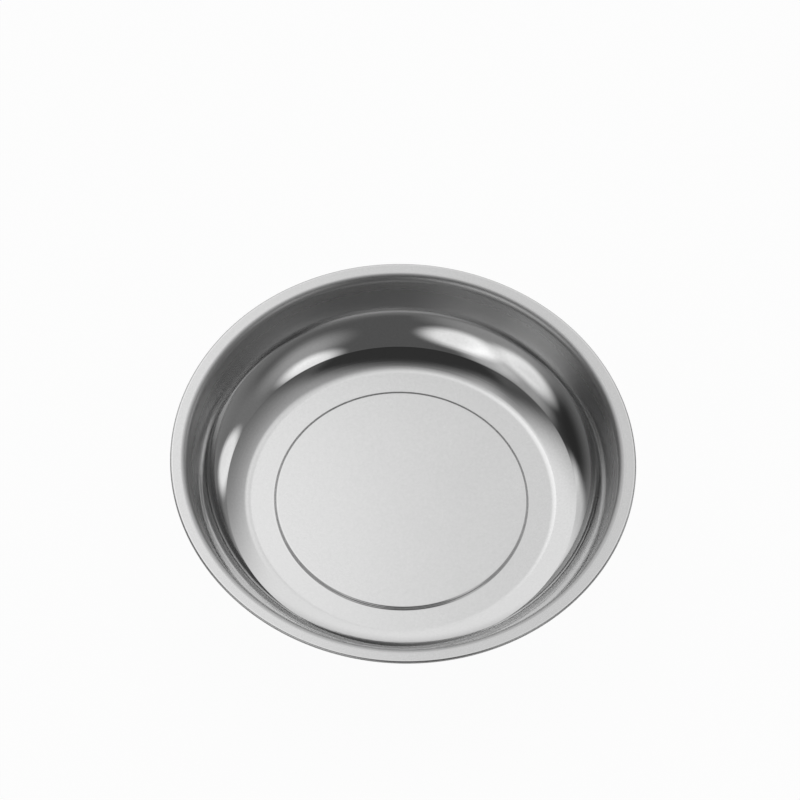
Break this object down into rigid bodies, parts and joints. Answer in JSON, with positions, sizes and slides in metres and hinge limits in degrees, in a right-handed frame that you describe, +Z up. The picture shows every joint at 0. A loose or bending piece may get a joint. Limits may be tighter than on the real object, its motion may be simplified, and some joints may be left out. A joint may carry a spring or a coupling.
{
  "type": "magnetic parts tray",
  "caption": "Round drawn stainless dish with a hemmed rim and a raised floor centre, held on a rubber-booted ring magnet, for keeping loose steel parts together.",
  "frame": {"origin": "on the bench under the centre of the boot's flat base", "axes": "+Z up along the axis of the dish, out of the bowl; X and Y are alike, because the tray is round"},
  "size_m": [0.15, 0.15, 0.038],
  "materials": {
    "stainless": "satin floor and rim, polished wall",
    "zinc_steel": "bright zinc plated",
    "plate_steel": "zinc plated, matt",
    "spring_steel": "oiled spring steel",
    "ferrite": "sintered, ground faces",
    "foam": "closed-cell foam",
    "boot_rubber": "matt moulded rubber"
  },
  "bodies": {
    "root": {"dish": "stainless", "weld_stud": "zinc_steel", "foam_gasket": "foam", "magnet_ring": "ferrite", "clamp_plate": "plate_steel", "flat_washer": "zinc_steel", "spring_washer": "spring_steel", "hex_nut": "zinc_steel", "rubber_boot": "boot_rubber"}
  },
  "joints": []
}
